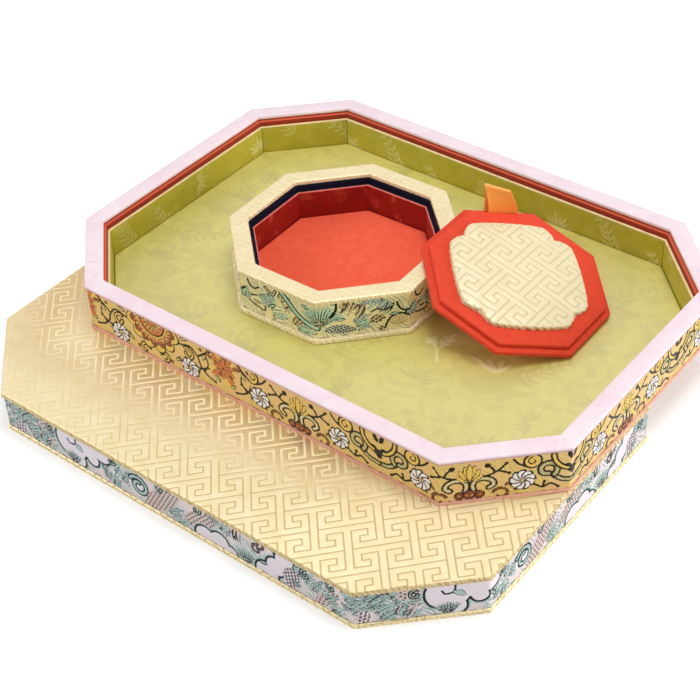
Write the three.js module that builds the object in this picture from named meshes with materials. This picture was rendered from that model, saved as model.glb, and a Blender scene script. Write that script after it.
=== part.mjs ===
import * as THREE from 'three';

// A brocade-covered jewelry tray that stands, set back, on its own cover.
// A lidded bangle box stands in the tray and its lid leans on it.
// Millimetres, +Z up. X runs along the long sides and -Y is the front.

// Outline shared by the tray and its cover: a rectangle with four cut corners
const length = 280;
const width = 202;
const cornerCut = 39;
const setBack = 58; // how far the tray stands behind the cover

// Layers that every covered wall has
const plateLip = 0.9; // rims and boards stand this far proud of the brocade
const clothThickness = 0.5;
const glueLine = 0.15; // between neighbouring layers
const mitreGap = 0.15; // at each end of a mitred strip
const restGap = 0.3; // nap of the cloth under a loose piece
const wallThickness = 4.5;

const cover = {
  height: 21.5,
  topThickness: 2.4,
  rimThickness: 2,
  rimWidth: 8.7,
};

const tray = {
  height: 24.6,
  baseThickness: 1.2,
  rimThickness: 2,
  rimWidth: 8.7,
  neckInset: 10, // inner face of the red strip, from the rim's outer edge
  neckDrop: 2.6, // its top, below the top of the rim
  liningInset: 11.3,
  liningDrop: 5.2,
  pipingThickness: 0.6,
  floorDepth: 20.5,
};

const box = {
  acrossFlats: 107.2,
  height: 23.9,
  centreX: -26.3,
  turn: 1.5, // degrees, how far it stands out of square in the tray
  baseThickness: 2.2,
  baseLip: 0.8, // the base board stands this far outside the rim
  rimThickness: 2,
  rimWidth: 8.8,
  neckInset: 9.4,
  liningInset: 11.4,
  liningDrop: 5,
  pipingThickness: 0.6,
  floorDepth: 20,
};

const lid = {
  flangeAcross: 86,
  flangeThickness: 2.4,
  plateAcross: 80,
  plateThickness: 2.4,
  tilt: 18.8, // degrees, its right edge on the tray floor and its left half over the box
  centreY: 19.6, // from the middle of the box, along the edge that it leans on
};

// The pad on the lid is a four-lobed blossom with a notch on each axis
const pad = {
  notch: 32,
  shoulder: 34,
  shoulderRise: 8,
  lobe: 32.3,
  lobeRise: 13,
  edgeHeight: 1.3,
  crown: 3.2,
  flatness: 5, // a higher power keeps the top flat for longer
};

const tab = {
  width: 16,
  height: 15.5,
  loopRadius: 2.1,
  rootHalf: 1.1,
  thickness: 0.5,
  lean: 14, // degrees, outwards
};

const sideNames = ['front_right', 'right', 'back_right', 'back', 'back_left', 'left', 'front_left', 'front'];

const finishes = {
  fretCloth: { color: 0xe9d39a, roughness: 0.55, metalness: 0.1 },
  lilacBrocade: { color: 0xb9b8bd, roughness: 0.6, metalness: 0.1 },
  goldBrocade: { color: 0xb98f45, roughness: 0.55, metalness: 0.15 },
  limeBrocade: { color: 0xa9ac84, roughness: 0.6, metalness: 0.1 },
  board: { color: 0xb39a76, roughness: 0.9, metalness: 0 },
  pinkDamask: { color: 0xf1e1ee, roughness: 0.45, metalness: 0 },
  salmonCloth: { color: 0xd9917f, roughness: 0.6, metalness: 0 },
  redCloth: { color: 0xb8432c, roughness: 0.6, metalness: 0 },
  oliveDamask: { color: 0xa5a045, roughness: 0.5, metalness: 0 },
  creamPiping: { color: 0xf0d79c, roughness: 0.6, metalness: 0 },
  navyCloth: { color: 0x1b1b33, roughness: 0.7, metalness: 0 },
  coralPiping: { color: 0xe98070, roughness: 0.6, metalness: 0 },
  scarletSatin: { color: 0xd8402c, roughness: 0.45, metalness: 0 },
  lidRed: { color: 0xe4512f, roughness: 0.5, metalness: 0 },
  orangeRibbon: { color: 0xff8a28, roughness: 0.4, metalness: 0 },
};

function cutCornerOutline(halfLength, halfWidth, cut, inset) {
  const a = halfLength - inset;
  const b = halfWidth - inset;
  const c = cut - inset * (2 - Math.SQRT2);
  return [
    new THREE.Vector2(a - c, -b),
    new THREE.Vector2(a, -b + c),
    new THREE.Vector2(a, b - c),
    new THREE.Vector2(a - c, b),
    new THREE.Vector2(-a + c, b),
    new THREE.Vector2(-a, b - c),
    new THREE.Vector2(-a, -b + c),
    new THREE.Vector2(-a + c, -b),
  ];
}

function trayOutline(inset) {
  return cutCornerOutline(length / 2, width / 2, cornerCut, inset);
}

function octagon(acrossFlats, inset) {
  const half = acrossFlats / 2;
  return cutCornerOutline(half, half, half * (2 - Math.SQRT2), inset);
}

function boxOutline(inset) {
  return octagon(box.acrossFlats, inset);
}

function extrude(shape, bottom, top) {
  const geometry = new THREE.ExtrudeGeometry(shape, { depth: top - bottom, bevelEnabled: false });
  geometry.translate(0, 0, bottom);
  return geometry;
}

function plate(outer, bottom, top) {
  return extrude(new THREE.Shape(outer), bottom, top);
}

function ring(outer, inner, bottom, top) {
  const shape = new THREE.Shape(outer);
  shape.holes.push(new THREE.Path(inner));
  return extrude(shape, bottom, top);
}

// One side of a ring, cut at both ends along the corner's mitre
function mitredStrip(outer, inner, side, bottom, top) {
  const next = (side + 1) % outer.length;
  const gap = outer[next].clone().sub(outer[side]).setLength(mitreGap);
  const corners = [
    outer[side].clone().add(gap),
    outer[next].clone().sub(gap),
    inner[next].clone().sub(gap),
    inner[side].clone().add(gap),
  ];
  return plate(corners, bottom, top);
}

function addPiece(group, name, geometry, finish) {
  const mesh = new THREE.Mesh(geometry, new THREE.MeshStandardMaterial(finishes[finish]));
  mesh.name = name;
  group.add(mesh);
  return mesh;
}

function addStrips(group, name, outer, inner, bottom, top, finish) {
  sideNames.forEach((sideName, side) => {
    addPiece(group, `${name}_${sideName}`, mitredStrip(outer, inner, side, bottom, top), finish);
  });
}

// Eight wall boards with the brocade wrapped round them in one band
function addCoveredWalls(group, name, outline, bottom, top, finish) {
  const boardInset = plateLip + clothThickness + glueLine;
  const boardInner = outline(boardInset + wallThickness);
  addStrips(group, `${name}_wall`, outline(boardInset), boardInner, bottom, top, 'board');
  const band = ring(outline(plateLip), outline(plateLip + clothThickness), bottom, top);
  addPiece(group, `${name}_brocade_band`, band, finish);
}

const neckOuterInset = plateLip + clothThickness + wallThickness + 2 * glueLine;

function makeCover() {
  const group = new THREE.Group();
  const topBottom = cover.height - cover.topThickness;
  const rim = ring(trayOutline(0), trayOutline(cover.rimWidth), 0, cover.rimThickness);
  addPiece(group, 'cover_rim_frame', rim, 'fretCloth');
  addCoveredWalls(group, 'cover', trayOutline, cover.rimThickness, topBottom, 'lilacBrocade');
  addPiece(group, 'cover_top_panel', plate(trayOutline(0), topBottom, cover.height), 'fretCloth');
  return group;
}

function makeTray() {
  const group = new THREE.Group();
  const rimBottom = tray.height - tray.rimThickness;
  const floorTop = tray.height - tray.floorDepth;
  const liningTop = tray.height - tray.liningDrop - tray.pipingThickness;
  const neckInner = trayOutline(tray.neckInset);
  const liningOuter = trayOutline(tray.neckInset + glueLine);
  const liningInner = trayOutline(tray.liningInset);

  addPiece(group, 'tray_base_board', plate(trayOutline(0), 0, tray.baseThickness), 'salmonCloth');
  addCoveredWalls(group, 'tray', trayOutline, tray.baseThickness, rimBottom, 'goldBrocade');
  addStrips(group, 'tray_rim', trayOutline(0), trayOutline(tray.rimWidth), rimBottom, tray.height, 'pinkDamask');

  const neckTop = tray.height - tray.neckDrop;
  const neck = ring(trayOutline(neckOuterInset), neckInner, tray.baseThickness, neckTop);
  addPiece(group, 'tray_neck', neck, 'redCloth');
  addStrips(group, 'tray_lining', liningOuter, liningInner, tray.baseThickness, liningTop, 'oliveDamask');
  const piping = ring(liningOuter, liningInner, liningTop, liningTop + tray.pipingThickness);
  addPiece(group, 'tray_lining_piping', piping, 'creamPiping');

  const floor = plate(trayOutline(tray.liningInset + restGap), tray.baseThickness, floorTop);
  addPiece(group, 'tray_floor_panel', floor, 'oliveDamask');
  return group;
}

function makeBox() {
  const group = new THREE.Group();
  const rimBottom = box.height - box.rimThickness;
  const floorTop = box.height - box.floorDepth;
  const liningTop = box.height - box.liningDrop - box.pipingThickness;
  const neckInner = boxOutline(box.neckInset);
  const liningOuter = boxOutline(box.neckInset + glueLine);
  const liningInner = boxOutline(box.liningInset);

  addPiece(group, 'box_base_board', plate(boxOutline(-box.baseLip), 0, box.baseThickness), 'fretCloth');
  addCoveredWalls(group, 'box', boxOutline, box.baseThickness, rimBottom, 'limeBrocade');
  const rim = ring(boxOutline(0), boxOutline(box.rimWidth), rimBottom, box.height);
  addPiece(group, 'box_rim_frame', rim, 'fretCloth');

  const neck = ring(boxOutline(neckOuterInset), neckInner, box.baseThickness, rimBottom);
  addPiece(group, 'box_neck', neck, 'navyCloth');
  const lining = ring(liningOuter, liningInner, box.baseThickness, liningTop);
  addPiece(group, 'box_lining', lining, 'scarletSatin');
  const piping = ring(liningOuter, liningInner, liningTop, liningTop + box.pipingThickness);
  addPiece(group, 'box_lining_piping', piping, 'coralPiping');

  const floor = plate(boxOutline(box.liningInset + restGap), box.baseThickness, floorTop);
  addPiece(group, 'box_floor_panel', floor, 'scarletSatin');
  return group;
}

// Outline of the four-lobed pad, anticlockwise from the notch on +X
function padOutline() {
  const path = new THREE.Path();
  path.moveTo(pad.notch, 0);
  for (let quarter = 0; quarter < 4; quarter += 1) {
    const turn = (x, y) => new THREE.Vector2(x, y).rotateAround(new THREE.Vector2(), (quarter * Math.PI) / 2);
    const shoulderIn = turn(pad.shoulder, pad.shoulderRise);
    const shoulderOut = turn(pad.shoulderRise, pad.shoulder);
    const lobeIn = turn(pad.lobe, pad.lobeRise);
    const lobeOut = turn(pad.lobeRise, pad.lobe);
    const roundIn = turn(pad.shoulder, 0);
    const roundOut = turn(0, pad.shoulder);
    const notchOut = turn(0, pad.notch);
    path.quadraticCurveTo(roundIn.x, roundIn.y, shoulderIn.x, shoulderIn.y);
    path.bezierCurveTo(lobeIn.x, lobeIn.y, lobeOut.x, lobeOut.y, shoulderOut.x, shoulderOut.y);
    path.quadraticCurveTo(roundOut.x, roundOut.y, notchOut.x, notchOut.y);
  }
  const stepsPerCurve = 5;
  return path.getPoints(stepsPerCurve).slice(0, -1);
}

// The outline drawn in step by step towards the middle while it rises to the crown
function crownedPad(bottom) {
  const outline = padOutline();
  const shares = [1, 1, 0.985, 0.95, 0.87, 0.7, 0.4];
  const rise = (share) => pad.edgeHeight + (pad.crown - pad.edgeHeight) * Math.sqrt(1 - share ** pad.flatness);
  const heights = shares.map((share, level) => (level === 0 ? 0 : rise(share)));
  const positions = [0, 0, bottom];
  shares.forEach((share, level) => {
    outline.forEach((point) => positions.push(point.x * share, point.y * share, bottom + heights[level]));
  });
  positions.push(0, 0, bottom + pad.crown);

  const count = outline.length;
  const top = 1 + count * shares.length;
  const at = (level, step) => 1 + level * count + (step % count);
  const faces = [];
  for (let step = 0; step < count; step += 1) {
    faces.push(0, at(0, step + 1), at(0, step));
    for (let level = 0; level < shares.length - 1; level += 1) {
      faces.push(at(level, step), at(level, step + 1), at(level + 1, step + 1));
      faces.push(at(level, step), at(level + 1, step + 1), at(level + 1, step));
    }
    faces.push(at(shares.length - 1, step), at(shares.length - 1, step + 1), top);
  }
  const geometry = new THREE.BufferGeometry();
  geometry.setAttribute('position', new THREE.Float32BufferAttribute(positions, 3));
  geometry.setIndex(faces);
  geometry.computeVertexNormals();
  return geometry;
}

// Section of the ribbon loop: narrow at the root and round at the top
function tabLoop(inset) {
  const root = tab.rootHalf - inset;
  const radius = tab.loopRadius - inset;
  const middle = tab.height - tab.loopRadius;
  const waist = middle / 2;
  const path = new THREE.Path();
  path.moveTo(root, inset);
  path.bezierCurveTo(root, waist, radius, waist, radius, middle);
  path.absarc(0, middle, radius, 0, Math.PI, false);
  path.bezierCurveTo(-radius, waist, -root, waist, -root, inset);
  path.lineTo(root, inset);
  const stepsPerCurve = 6;
  return path.getPoints(stepsPerCurve).slice(0, -1);
}

function ribbonTab() {
  const geometry = ring(tabLoop(0), tabLoop(tab.thickness), -tab.width / 2, tab.width / 2);
  geometry.rotateX(Math.PI / 2);
  geometry.translate(0, 0, tab.rootHalf * Math.tan(THREE.MathUtils.degToRad(tab.lean)) + restGap);
  return geometry;
}

function makeLid() {
  const group = new THREE.Group();
  const plateTop = lid.flangeThickness + lid.plateThickness;
  addPiece(group, 'lid_flange', plate(octagon(lid.flangeAcross, 0), 0, lid.flangeThickness), 'lidRed');
  const upper = plate(octagon(lid.plateAcross, 0), lid.flangeThickness + glueLine, plateTop);
  addPiece(group, 'lid_plate', upper, 'lidRed');
  addPiece(group, 'lid_fret_pad', crownedPad(plateTop + restGap), 'fretCloth');

  // The ribbon rises from the flange's margin, in the middle of the back left side
  const tabRoot = new THREE.Group();
  const ribbon = addPiece(tabRoot, 'lid_ribbon_tab', ribbonTab(), 'orangeRibbon');
  const margin = (lid.flangeAcross - lid.plateAcross) / 4;
  ribbon.position.set(lid.plateAcross / 2 + margin, 0, lid.flangeThickness);
  ribbon.rotation.y = THREE.MathUtils.degToRad(tab.lean);
  tabRoot.rotation.z = THREE.MathUtils.degToRad(135);
  group.add(tabRoot);
  return group;
}

// The lid's right edge stands on the tray floor and its underside lies on the box's right rim
function leanLid(group) {
  const tilt = THREE.MathUtils.degToRad(lid.tilt);
  const half = lid.flangeAcross / 2;
  const beyondRim = (box.height - half * Math.sin(tilt)) / Math.tan(tilt);
  group.rotation.y = tilt;
  group.position.set(box.acrossFlats / 2 + beyondRim, lid.centreY, half * Math.sin(tilt) + restGap);
}

const set = new THREE.Group();
const coverGroup = makeCover();
const trayGroup = makeTray();
const boxGroup = makeBox();
const lidGroup = makeLid();
leanLid(lidGroup);

boxGroup.add(lidGroup);
boxGroup.rotation.z = THREE.MathUtils.degToRad(box.turn);
boxGroup.position.set(box.centreX, 0, tray.height - tray.floorDepth + restGap);
trayGroup.add(boxGroup);
trayGroup.position.set(0, setBack / 2, cover.height);
coverGroup.position.y = -setBack / 2;
set.add(coverGroup, trayGroup);

export default set;
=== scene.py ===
from math import cos, pi, radians, sin, sqrt, tan

import bpy
import numpy as np
from mathutils import Matrix, Vector


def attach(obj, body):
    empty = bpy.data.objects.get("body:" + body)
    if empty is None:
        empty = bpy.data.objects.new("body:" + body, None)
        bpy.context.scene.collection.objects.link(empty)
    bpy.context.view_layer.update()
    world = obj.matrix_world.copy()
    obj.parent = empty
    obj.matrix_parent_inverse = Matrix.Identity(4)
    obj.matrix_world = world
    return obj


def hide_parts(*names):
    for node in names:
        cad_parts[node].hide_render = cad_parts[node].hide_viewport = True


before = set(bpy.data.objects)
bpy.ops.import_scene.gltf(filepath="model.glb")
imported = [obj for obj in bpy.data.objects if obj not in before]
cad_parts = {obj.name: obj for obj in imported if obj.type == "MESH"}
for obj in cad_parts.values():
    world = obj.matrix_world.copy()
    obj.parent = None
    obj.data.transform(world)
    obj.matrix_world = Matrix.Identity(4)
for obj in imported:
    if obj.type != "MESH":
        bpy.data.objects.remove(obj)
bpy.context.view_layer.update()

mm = 0.001  # sizes below are in millimetres, like the drawing
sideNames = ["front_right", "right", "back_right", "back", "back_left", "left", "front_left", "front"]

# where each of the four loose things stands
things = {
    "trayHalf": (140, 101),
    "trayCut": 39,
    "setBack": 58,
    "coverHeight": 21.5,
    "trayFloor": 4.1,
    "nap": 0.3,
    "boxX": -26.3,
    "boxTurn": 1.5,
    "boxAcross": 107.2,
    "boxHeight": 23.9,
    "lidTilt": 18.8,
    "lidY": 19.6,
    "lidAcross": 86,
}


def shift(x, y, z):
    return Matrix.Translation((x * mm, y * mm, z * mm))


lidDrop = things["lidAcross"] / 2 * sin(radians(things["lidTilt"]))
lidReach = (things["boxHeight"] - lidDrop) / tan(radians(things["lidTilt"]))
coverPlace = shift(0, -things["setBack"] / 2, 0)
trayPlace = shift(0, things["setBack"] / 2, things["coverHeight"])
boxPlace = (trayPlace @ shift(things["boxX"], 0, things["trayFloor"] + things["nap"])
            @ Matrix.Rotation(radians(things["boxTurn"]), 4, "Z"))
lidPlace = (boxPlace @ shift(things["boxAcross"] / 2 + lidReach, things["lidY"], lidDrop + things["nap"])
            @ Matrix.Rotation(radians(things["lidTilt"]), 4, "Y"))
places = {"cover": coverPlace, "tray": trayPlace, "bangle_box": boxPlace, "box_lid": lidPlace}


# outlines, anticlockwise from the front end of the front right corner cut
def cutCornerOutline(halfLength, halfWidth, cut, inset):
    a, b = halfLength - inset, halfWidth - inset
    c = cut - inset * (2 - sqrt(2))
    return np.array([(a - c, -b), (a, c - b), (a, b - c), (a - c, b),
                     (c - a, b), (-a, b - c), (-a, c - b), (c - a, -b)])


def trayOutline(inset):
    return cutCornerOutline(*things["trayHalf"], things["trayCut"], inset)


def octagon(across, inset=0):
    half = across / 2
    return cutCornerOutline(half, half, half * (2 - sqrt(2)), inset)


def boxOutline(inset):
    return octagon(things["boxAcross"], inset)


# small modelling helpers
def toMode(mode):
    bpy.ops.object.mode_set(mode=mode)


def deselectAll():
    if bpy.context.object and bpy.context.object.mode != "OBJECT":
        toMode("OBJECT")
    bpy.ops.object.select_all(action="DESELECT")


def flatGrid(columns, rows):
    # runs from -1 to 1 both ways
    deselectAll()
    bpy.ops.mesh.primitive_grid_add(x_subdivisions=int(columns), y_subdivisions=int(rows), size=2)
    return bpy.context.object


def meshPoints(piece):
    flat = np.empty(len(piece.data.vertices) * 3)
    piece.data.vertices.foreach_get("co", flat)
    return flat.reshape(-1, 3)


def movePoints(piece, points):
    piece.data.vertices.foreach_set("co", np.asarray(points, float).ravel())
    piece.data.update()


def keepValues(piece, name, values):
    kind, field = ("FLOAT", "value") if values.ndim == 1 else ("FLOAT_VECTOR", "vector")
    layer = piece.data.attributes.get(name) or piece.data.attributes.new(name, kind, "POINT")
    layer.data.foreach_set(field, values.astype(np.float32).ravel())


def keptValues(piece, name):
    layer = piece.data.attributes[name]
    field, width = ("value", 1) if layer.data_type == "FLOAT" else ("vector", 3)
    values = np.empty(len(piece.data.vertices) * width, np.float32)
    layer.data.foreach_get(field, values)
    return values.astype(float).reshape(-1, width).squeeze()


def selectFaces(piece, wanted):
    toMode("EDIT")
    bpy.ops.mesh.select_all(action="DESELECT")
    bpy.ops.mesh.select_mode(type="FACE")
    toMode("OBJECT")
    for face in piece.data.polygons:
        face.select = bool(wanted(face))
    toMode("EDIT")


def evenOut(merge=0.0):
    toMode("EDIT")
    bpy.ops.mesh.select_all(action="SELECT")
    if merge:
        bpy.ops.mesh.remove_doubles(threshold=merge)
    bpy.ops.mesh.normals_make_consistent(inside=False)
    toMode("OBJECT")


def applyModifier(piece, kind, **settings):
    modifier = piece.modifiers.new(kind.lower(), kind)
    for key, value in settings.items():
        setattr(modifier, key, value)
    bpy.ops.object.modifier_apply(modifier=modifier.name)


def setDown(piece, name, body, node, material):
    deselectAll()
    bpy.context.view_layer.objects.active = piece
    piece.select_set(True)
    bpy.ops.object.shade_smooth_by_angle(angle=radians(40))
    piece.name = piece.data.name = name
    piece.data.transform(places[body] @ Matrix.Scale(mm, 4))
    piece.data.materials.clear()
    piece.data.materials.append(material)
    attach(piece, body)
    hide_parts(node)


# materials
def rgb(hexColour):
    parts = [int(hexColour[i:i + 2], 16) / 255 for i in (1, 3, 5)]
    return tuple(p / 12.92 if p <= 0.04045 else ((p + 0.055) / 1.055) ** 2.4 for p in parts) + (1,)


def workOn(owner):
    # nodes are added to this material or world from here on
    global tree
    owner.use_nodes = True
    tree = owner.node_tree
    tree.nodes.clear()


def addNode(kind, sockets=None, **settings):
    node = tree.nodes.new(kind)
    for key, value in settings.items():
        setattr(node, key, value)
    for key, value in (sockets or {}).items():
        if isinstance(value, bpy.types.NodeSocket):
            tree.links.new(value, node.inputs[key])
        else:
            node.inputs[key].default_value = value
    return node


def attribute(name, output="Fac"):
    return addNode("ShaderNodeAttribute", attribute_name=name).outputs[output]


def noise(place, size, detail, distortion=0.0):
    sockets = {"Vector": place, "Scale": 1 / (size * mm), "Detail": detail, "Distortion": distortion}
    return addNode("ShaderNodeTexNoise", sockets).outputs["Fac"]


def waves(place, spacing, direction, distortion, detail=2.0, detailScale=1.0):
    turn = 0.444 if direction == "DIAGONAL" else pi / 10  # one wave of the texture for each thread
    sockets = {"Vector": place, "Scale": turn / (spacing * mm), "Distortion": distortion, "Detail": detail,
               "Detail Scale": detailScale}
    return addNode("ShaderNodeTexWave", sockets, bands_direction=direction).outputs["Fac"]


def remap(value, low=0.0, high=1.0, toLow=0.0, toHigh=1.0):
    sockets = {"Value": value, "From Min": low, "From Max": high, "To Min": toLow, "To Max": toHigh}
    return addNode("ShaderNodeMapRange", sockets).outputs[0]


def combine(operation, *values):
    return addNode("ShaderNodeMath", dict(enumerate(values)), operation=operation).outputs[0]


def mixColour(amount, *colours):
    first, second = [rgb(c) if isinstance(c, str) else c for c in colours]
    return addNode("ShaderNodeMix", {0: amount, 6: first, 7: second}, data_type="RGBA").outputs[2]


def bump(height, strength, depth=0.12):
    sockets = {"Strength": strength, "Distance": depth * mm, "Height": height}
    return addNode("ShaderNodeBump", sockets).outputs["Normal"]


def threads(place, spacing):
    # over and under threads, drawn a little coarser than silk so that they show
    warp = waves(place, spacing, "X", 0.6, 1.0)
    weft = waves(place, spacing * 0.8, "Y", 0.6, 1.0)
    return combine("MULTIPLY", warp, weft)


def onObject():
    return addNode("ShaderNodeTexCoord").outputs["Object"]


def newMaterial(name):
    material = bpy.data.materials.new(name)
    workOn(material)
    return material


def surface(material, sockets):
    shader = addNode("ShaderNodeBsdfPrincipled", sockets)
    addNode("ShaderNodeOutputMaterial", {"Surface": shader.outputs["BSDF"]})
    return material


def plainWeave(name, colour, shade, sheen=0.15, gloss=0.35, lip=None):
    # dyed cotton-silk cloth, plain woven: dull, with a soft nap and slubs in the thread
    material = newMaterial(name)
    place = onObject()
    weave = threads(place, 0.7)
    slub = remap(noise(place, size=3.5, detail=3.0), 0.3, 0.7)
    colourNow = mixColour(slub, colour, shade)
    colourNow = mixColour(weave, mixColour(0.12, colourNow, shade), colourNow)
    # painted highlight: the lip attribute marks an upper edge painted paler for the light it catches
    if lip:  # a paler upper edge
        colourNow = mixColour(attribute("lip"), colourNow, lip)
    return surface(material, {"Base Color": colourNow, "Roughness": 0.8, "Specular IOR Level": gloss,
                              "Sheen Weight": sheen, "Sheen Roughness": 0.5, "Normal": bump(weave, 0.35)})


def damask(name, ground, figure, shade, gloss, sheen=0.0, drift=0.0, also=None):
    # one-colour silk damask: the figure is a turned satin, so it only shows by its gloss and a slight tint
    material = newMaterial(name)
    place = onObject()
    # the figure is fainter in places
    fade = remap(noise(place, size=38, detail=1.0), 0.35, 0.6, 0.4)
    figureHere = combine("MULTIPLY", remap(attribute("figure"), 0.25, -0.25), fade)
    weave = threads(place, 0.7)
    slub = remap(noise(place, size=5, detail=4.0), 0.35, 0.7)
    colourNow = mixColour(slub, ground, shade)
    colourNow = mixColour(weave, mixColour(0.15, colourNow, shade), colourNow)
    # larger leaves lie so faint that they only read as a drift of tone
    broad = noise(place, size=17, detail=3.0, distortion=1.5)
    colourNow = mixColour(remap(broad, 0.5, 0.56, 0.0, drift), colourNow, figure)
    colourNow = mixColour(figureHere, colourNow, figure)
    if also:  # one more colour, where its attribute says
        colourNow = mixColour(attribute(also[0]), colourNow, also[1])
    height = combine("ADD", weave, figureHere)
    return surface(material, {"Base Color": colourNow, "Roughness": remap(figureHere, toLow=0.5, toHigh=0.36),
                              "IOR": gloss, "Sheen Weight": sheen, "Normal": bump(height, 0.3)})


def fretSatin(name, ground, line, shade, metal, soft=0.0, pleats=0.5, edgeTone="#D2B476", edgeMatt=1.0):
    # cream-gold satin with a woven key-fret: the ground mirrors what stands by it, the lines are dull thread
    material = newMaterial(name)
    place = onObject()
    drawn, litLines, turned = [attribute(word) for word in ("groove", "litLines", "turned")]
    # painted light: near the tray the lines are also drawn wider
    bright = combine("MULTIPLY", remap(drawn, 0.09, 0.32), litLines)
    lineHere = combine("MAXIMUM", remap(drawn, 0.3 - soft, 0.75 + soft), bright)
    weave = threads(place, 0.75)
    slub = remap(noise(place, size=6, detail=4.0), 0.35, 0.75)
    colourNow = mixColour(slub, ground, shade)
    colourNow = mixColour(weave, colourNow, mixColour(0.25, colourNow, shade))
    # painted shade and reflection: the ground is painted darker near the tray, where it mirrors the tray's band
    colourNow = mixColour(attribute("deep"), colourNow, "#C6A269")
    # painted light and shade: the lines are painted bright near the tray, and dark in the open
    colourNow = mixColour(lineHere, colourNow, mixColour(litLines, line, "#FFEDBC"))
    # small slanting pleats where the cloth turns over an edge
    pleat = waves(place, 2.6, "DIAGONAL", 7.0, 2.0, 1.6)
    pleat = combine("MULTIPLY", remap(pleat, 0.4, 0.1, 0.0, pleats), turned)
    # painted light and shade: the turned edge takes an edge tone set for how bright that edge reads, and the pleats'
    # troughs are painted dark
    colourNow = mixColour(combine("MULTIPLY", turned, pleats), colourNow, edgeTone)
    colourNow = mixColour(pleat, colourNow, "#8F7440")
    matt = combine("MAXIMUM", lineHere, combine("MULTIPLY", turned, edgeMatt))
    matt = combine("MAXIMUM", matt, attribute("dull"))
    height = combine("SUBTRACT", weave, pleat)
    return surface(material, {"Base Color": colourNow, "Metallic": remap(matt, toLow=metal, toHigh=0.0),
                              "Roughness": remap(matt, toLow=0.36, toHigh=0.8),
                              "Normal": bump(height, 0.25)})


def figuredBrocade(name, ground, shade, yarns, fine, tint, sheen=0.0):
    # brocade: coloured floats of silk stand on a fine satin ground, dark yarn round each figure
    material = newMaterial(name)
    along = attribute("along", "Vector")
    weave = threads(along, 0.8)
    slub = remap(noise(along, size=2.2, detail=3.0), 0.35, 0.68)
    colourNow = mixColour(slub, ground, shade)
    patch = noise(along, size=11, detail=1.0)
    colourNow = mixColour(remap(patch, 0.42, 0.6, 0.0, 0.7), colourNow, tint)
    # small woven lines fill the ground in places, too many to draw one by one
    flow = waves(along, 1.9, "DIAGONAL", 11.0, 2.0, 0.6)
    where = remap(patch, 0.57, 0.46, 0.0, 0.85)
    for low, high, share, tone in ((0.5, 0.75, 1.0, fine), (0.88, 0.98, 0.6, yarns[0][0])):
        line = combine("MULTIPLY", remap(flow, low, high, 0.0, share), where)
        colourNow = mixColour(line, colourNow, tone)
    layers = []
    for half in ("yarnsA", "yarnsB"):
        drawn = attribute(half, "Vector")
        layers += list(addNode("ShaderNodeSeparateXYZ", {"Vector": drawn}).outputs)
    stitch = waves(along, 1.35, "DIAGONAL", 2.0, 1.0)
    # yarn ends leave each edge ragged and a little blurred, the dark yarn's less so
    ragged = remap(noise(along, size=0.9, detail=2.0), 0.3, 0.7, -0.28, 0.28)
    for index in (1, 2, 3, 4, 5, 0):
        fray, swell, blur = (1.0, 0.0, 0.13) if index else (0.45, 0.03, 0.091)
        if index == 0:
            # the ground's threads show through every yarn but the dark one
            colourNow = mixColour(weave, mixColour(0.14, colourNow, shade), colourNow)
        edge = combine("MULTIPLY_ADD", ragged, fray, layers[index])
        here = remap(edge, swell + blur, swell - blur)
        colourNow = mixColour(here, colourNow, mixColour(stitch, *yarns[index]))
    return surface(material, {"Base Color": colourNow, "Roughness": 0.55, "Specular IOR Level": 0.2,
                              "Sheen Weight": sheen, "Sheen Roughness": 0.4, "Normal": bump(weave, 0.4)})


def greyBoard(name):
    # pasted grey board inside the walls: dull pressed paper pulp with darker flecks
    material = newMaterial(name)
    pulp = noise(onObject(), size=1.2, detail=6.0)
    colourNow = mixColour(pulp, "#B9B1A3", "#8D8577")
    return surface(material, {"Base Color": colourNow, "Roughness": 0.9, "Normal": bump(pulp, 0.2, 0.1)})


def satinRibbon(name, colour, shade):
    # polyester satin ribbon: fine ribs run along it and catch the light
    material = newMaterial(name)
    rib = waves(attribute("along", "Vector"), 0.9, "X", 0.4)
    colourNow = mixColour(rib, shade, colour)
    return surface(material, {"Base Color": colourNow, "Roughness": 0.38, "Anisotropic": 0.4,
                              "Normal": bump(rib, 0.15, 0.1)})


# colours: ink, then five yarns, each with its shaded tone
goldYarns = [("#140E08", "#0C0804"), ("#F6D870", "#DDB146"), ("#FAF8FC", "#EEEBF4"), ("#8E2A20", "#651C18"),
             ("#E67C3A", "#C2582A"), ("#CFC68C", "#A8A470")]
lilacYarns = [("#10161C", "#0A0E12"), ("#B6D4CC", "#8DB4AC"), ("#EEE6ED", "#EAE1EA"), ("#56301F", "#381A10"),
              ("#E6D0C8", "#D9BEB4"), ("#A6C4BA", "#5F807A")]
limeYarns = [("#161A1C", "#0E1012"), ("#BEEADC", "#98D0C2"), ("#FFFADA", "#FAF4D0"), ("#5C2A1C", "#3E1A10"),
             ("#F8DEAC", "#EACA94"), ("#C8D6DA", "#8A9CA8")]

# painted light and shade: the edge tones passed below are set per piece for how bright each turned edge reads
fretCloth = fretSatin("fret_satin", "#F4E4BC", "#CAB27A", "#ECD8A6", 0.8)
rimCloth = fretSatin("rim_satin", "#F4E4BC", "#CDB782", "#ECDAAA", 0.6, 0.0, 0.32, "#F0DC9C", 0.2)
boxCloth = fretSatin("box_satin", "#F4E4BC", "#CDB782", "#ECDAAA", 0.6, 0.0, 0.32, "#FFF0B8", 0.9)
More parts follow.
